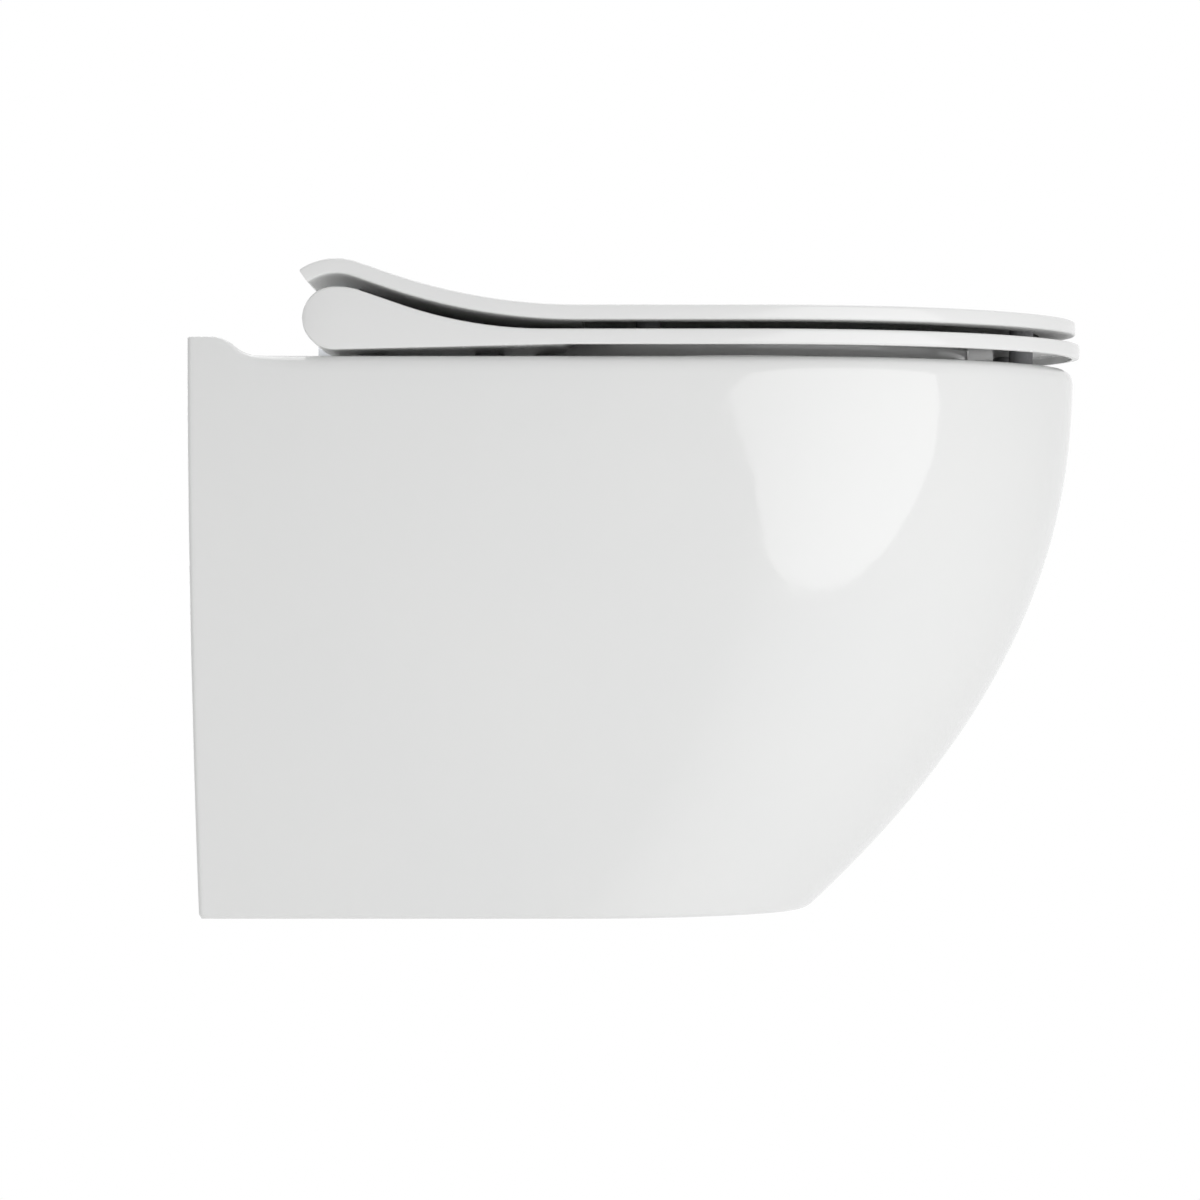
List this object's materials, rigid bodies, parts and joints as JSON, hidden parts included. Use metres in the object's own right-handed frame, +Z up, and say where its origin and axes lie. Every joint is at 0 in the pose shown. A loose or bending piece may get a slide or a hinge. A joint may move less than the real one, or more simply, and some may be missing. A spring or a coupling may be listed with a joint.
{
  "type": "wall hung toilet",
  "caption": "Wall hung toilet: a one-piece glazed pan with a D-shaped rim, and a slim seat and lid that lift on soft-close, quick-release hinges.",
  "frame": {"origin": "on the wall plane, midway between the two wall studs", "axes": "+Z up, +Y into the wall, so the pan stands out along -Y; +X across"},
  "size_m": [0.3632, 0.524, 0.3799],
  "materials": {
    "glazed_ceramic": "gloss white glaze",
    "duroplast": "gloss white moulded thermoset",
    "white_plastic": "satin moulded",
    "grey_plastic": "satin moulded",
    "soft_rubber": "matt grey",
    "black_rubber": "matt black",
    "cast_zinc": "tumbled zinc casting",
    "plated_steel": "bright zinc plate",
    "stainless_steel": "turned stainless",
    "spring_steel": "drawn wire",
    "chromed_zinc": "polished chrome plate"
  },
  "bodies": {
    "pan": {"ceramic_pan": "glazed_ceramic", "flush_inlet_seal": "black_rubber", "flush_distributor": "white_plastic", "wall_clamp_left": "cast_zinc", "wall_clamp_right": "cast_zinc", "clamp_screw_left": "plated_steel", "clamp_screw_right": "plated_steel", "hinge_gasket_left": "soft_rubber", "hinge_gasket_right": "soft_rubber", "hinge_base_left": "stainless_steel", "hinge_base_right": "stainless_steel", "hinge_stud_left": "stainless_steel", "hinge_stud_right": "stainless_steel", "hinge_plug_left": "black_rubber", "hinge_plug_right": "black_rubber", "hinge_nut_left": "plated_steel", "hinge_nut_right": "plated_steel"},
    "hinge_carrier": {"hinge_housing_left": "chromed_zinc", "hinge_housing_right": "chromed_zinc", "hinge_clip_left": "spring_steel", "hinge_clip_right": "spring_steel", "seat_damper_shaft": "plated_steel", "seat_pin": "stainless_steel", "lid_damper_shaft": "plated_steel", "lid_pin": "stainless_steel"},
    "button_left": {"release_button_left": "white_plastic"},
    "button_right": {"release_button_right": "white_plastic"},
    "seat": {"seat_ring": "duroplast", "seat_damper": "grey_plastic", "seat_bush": "grey_plastic", "seat_buffers_front": "soft_rubber", "seat_buffers_rear": "soft_rubber"},
    "lid": {"lid_panel": "duroplast", "lid_damper": "grey_plastic", "lid_bush": "grey_plastic", "lid_buffers_front": "soft_rubber", "lid_buffers_rear": "soft_rubber"}
  },
  "joints": [
    {"name": "seat_lift_off", "type": "slide", "parent": "pan", "child": "hinge_carrier", "axis": [0, 0, 1], "range_m": [0, 0.03]},
    {"name": "seat_hinge", "type": "hinge", "parent": "hinge_carrier", "child": "seat", "pos_m": [0, -0.083, 0.101], "axis": [-1, 0, 0], "range_deg": [0, 92]},
    {"name": "lid_hinge", "type": "hinge", "parent": "seat", "child": "lid", "pos_m": [0, -0.083, 0.101], "axis": [1, 0, 0], "range_deg": [-92, 0]},
    {"name": "release_button_left", "type": "slide", "parent": "hinge_carrier", "child": "button_left", "axis": [0, -1, 0], "range_m": [0, 0.002], "stiffness_N_per_m": 1500, "springref_m": -0.002, "deforming": ["hinge_clip_left"]},
    {"name": "release_button_right", "type": "slide", "parent": "hinge_carrier", "child": "button_right", "axis": [0, -1, 0], "range_m": [0, 0.002], "stiffness_N_per_m": 1500, "springref_m": -0.002, "deforming": ["hinge_clip_right"]}
  ]
}
